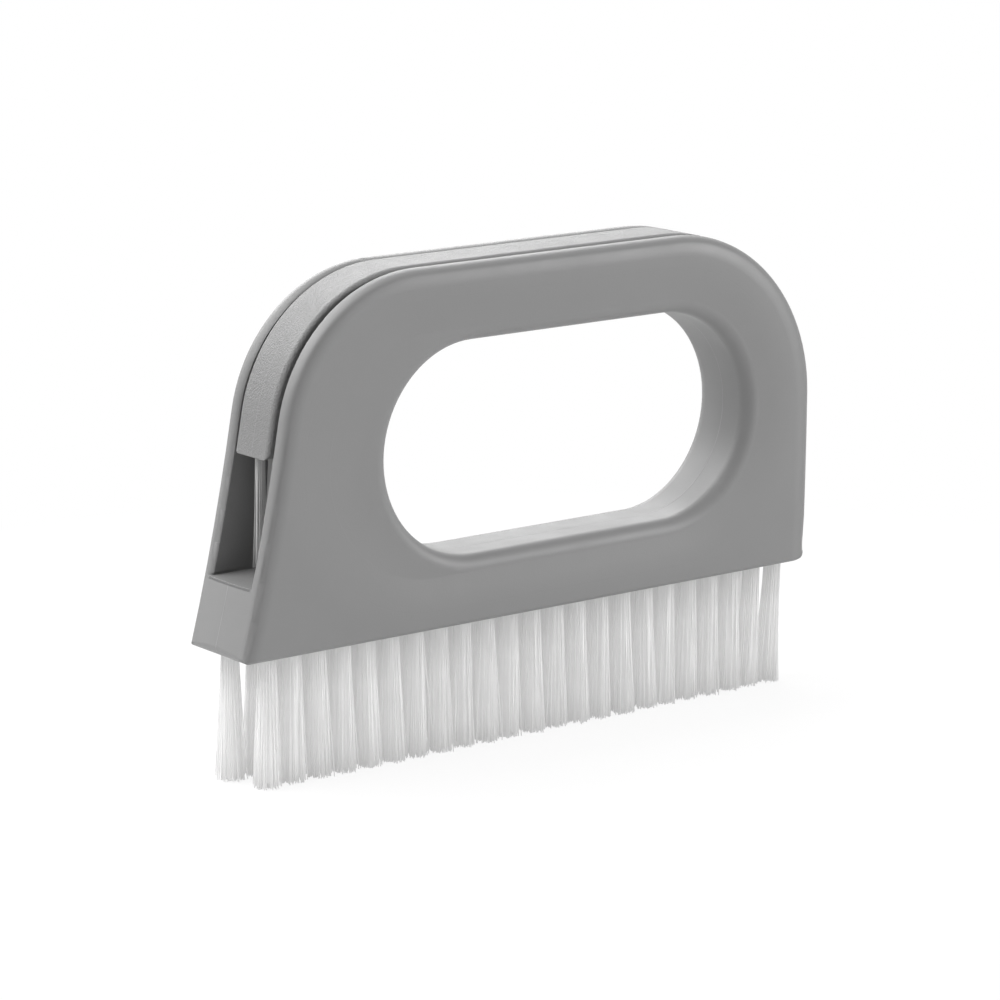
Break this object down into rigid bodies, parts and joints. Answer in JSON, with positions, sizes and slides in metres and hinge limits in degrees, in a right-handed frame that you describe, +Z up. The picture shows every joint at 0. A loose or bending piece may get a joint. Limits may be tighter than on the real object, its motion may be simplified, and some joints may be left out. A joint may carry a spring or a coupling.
{
  "type": "grout brush",
  "caption": "Flat scrubbing brush with an oval finger hole, two staggered rows of bristle tufts, and a slim crevice brush stowed in a slot round its outer edge.",
  "frame": {"origin": "middle of the handle's length and thickness, at the level of the main bristle tips", "axes": "+X along the brush's length towards its upright end, +Y through its thickness towards the rear face, +Z up from the bristle tips to the grip"},
  "size_m": [0.1442, 0.019, 0.0994],
  "materials": {
    "handle_plastic": "fine satin grain",
    "crevice_plastic": "fine matte grain",
    "bristle_nylon": "translucent filament",
    "anchor_steel": "drawn flat wire"
  },
  "bodies": {
    "main_brush": {"handle_body": "handle_plastic", "main_anchors": "anchor_steel", "front_tuft_01": "bristle_nylon", "front_tuft_02": "bristle_nylon", "front_tuft_03": "bristle_nylon", "front_tuft_04": "bristle_nylon", "front_tuft_05": "bristle_nylon", "front_tuft_06": "bristle_nylon", "front_tuft_07": "bristle_nylon", "front_tuft_08": "bristle_nylon", "front_tuft_09": "bristle_nylon", "front_tuft_10": "bristle_nylon", "front_tuft_11": "bristle_nylon", "front_tuft_12": "bristle_nylon", "front_tuft_13": "bristle_nylon", "front_tuft_14": "bristle_nylon", "front_tuft_15": "bristle_nylon", "front_tuft_16": "bristle_nylon", "front_tuft_17": "bristle_nylon", "front_tuft_18": "bristle_nylon", "front_tuft_19": "bristle_nylon", "front_tuft_20": "bristle_nylon", "front_tuft_21": "bristle_nylon", "front_tuft_22": "bristle_nylon", "front_tuft_23": "bristle_nylon", "rear_tuft_01": "bristle_nylon", "rear_tuft_02": "bristle_nylon", "rear_tuft_03": "bristle_nylon", "rear_tuft_04": "bristle_nylon", "rear_tuft_05": "bristle_nylon", "rear_tuft_06": "bristle_nylon", "rear_tuft_07": "bristle_nylon", "rear_tuft_08": "bristle_nylon", "rear_tuft_09": "bristle_nylon", "rear_tuft_10": "bristle_nylon", "rear_tuft_11": "bristle_nylon", "rear_tuft_12": "bristle_nylon", "rear_tuft_13": "bristle_nylon", "rear_tuft_14": "bristle_nylon", "rear_tuft_15": "bristle_nylon", "rear_tuft_16": "bristle_nylon", "rear_tuft_17": "bristle_nylon", "rear_tuft_18": "bristle_nylon", "rear_tuft_19": "bristle_nylon", "rear_tuft_20": "bristle_nylon", "rear_tuft_21": "bristle_nylon", "rear_tuft_22": "bristle_nylon", "rear_tuft_23": "bristle_nylon"},
    "crevice_brush": {"crevice_back": "crevice_plastic", "crevice_anchors": "anchor_steel", "crevice_tuft_01": "bristle_nylon", "crevice_tuft_02": "bristle_nylon", "crevice_tuft_03": "bristle_nylon", "crevice_tuft_04": "bristle_nylon", "crevice_tuft_05": "bristle_nylon", "crevice_tuft_06": "bristle_nylon"}
  },
  "joints": [
    {"name": "crevice_brush_lift", "type": "slide", "parent": "main_brush", "child": "crevice_brush", "axis": [0, 0, 1], "range_m": [0, 0.075]}
  ]
}
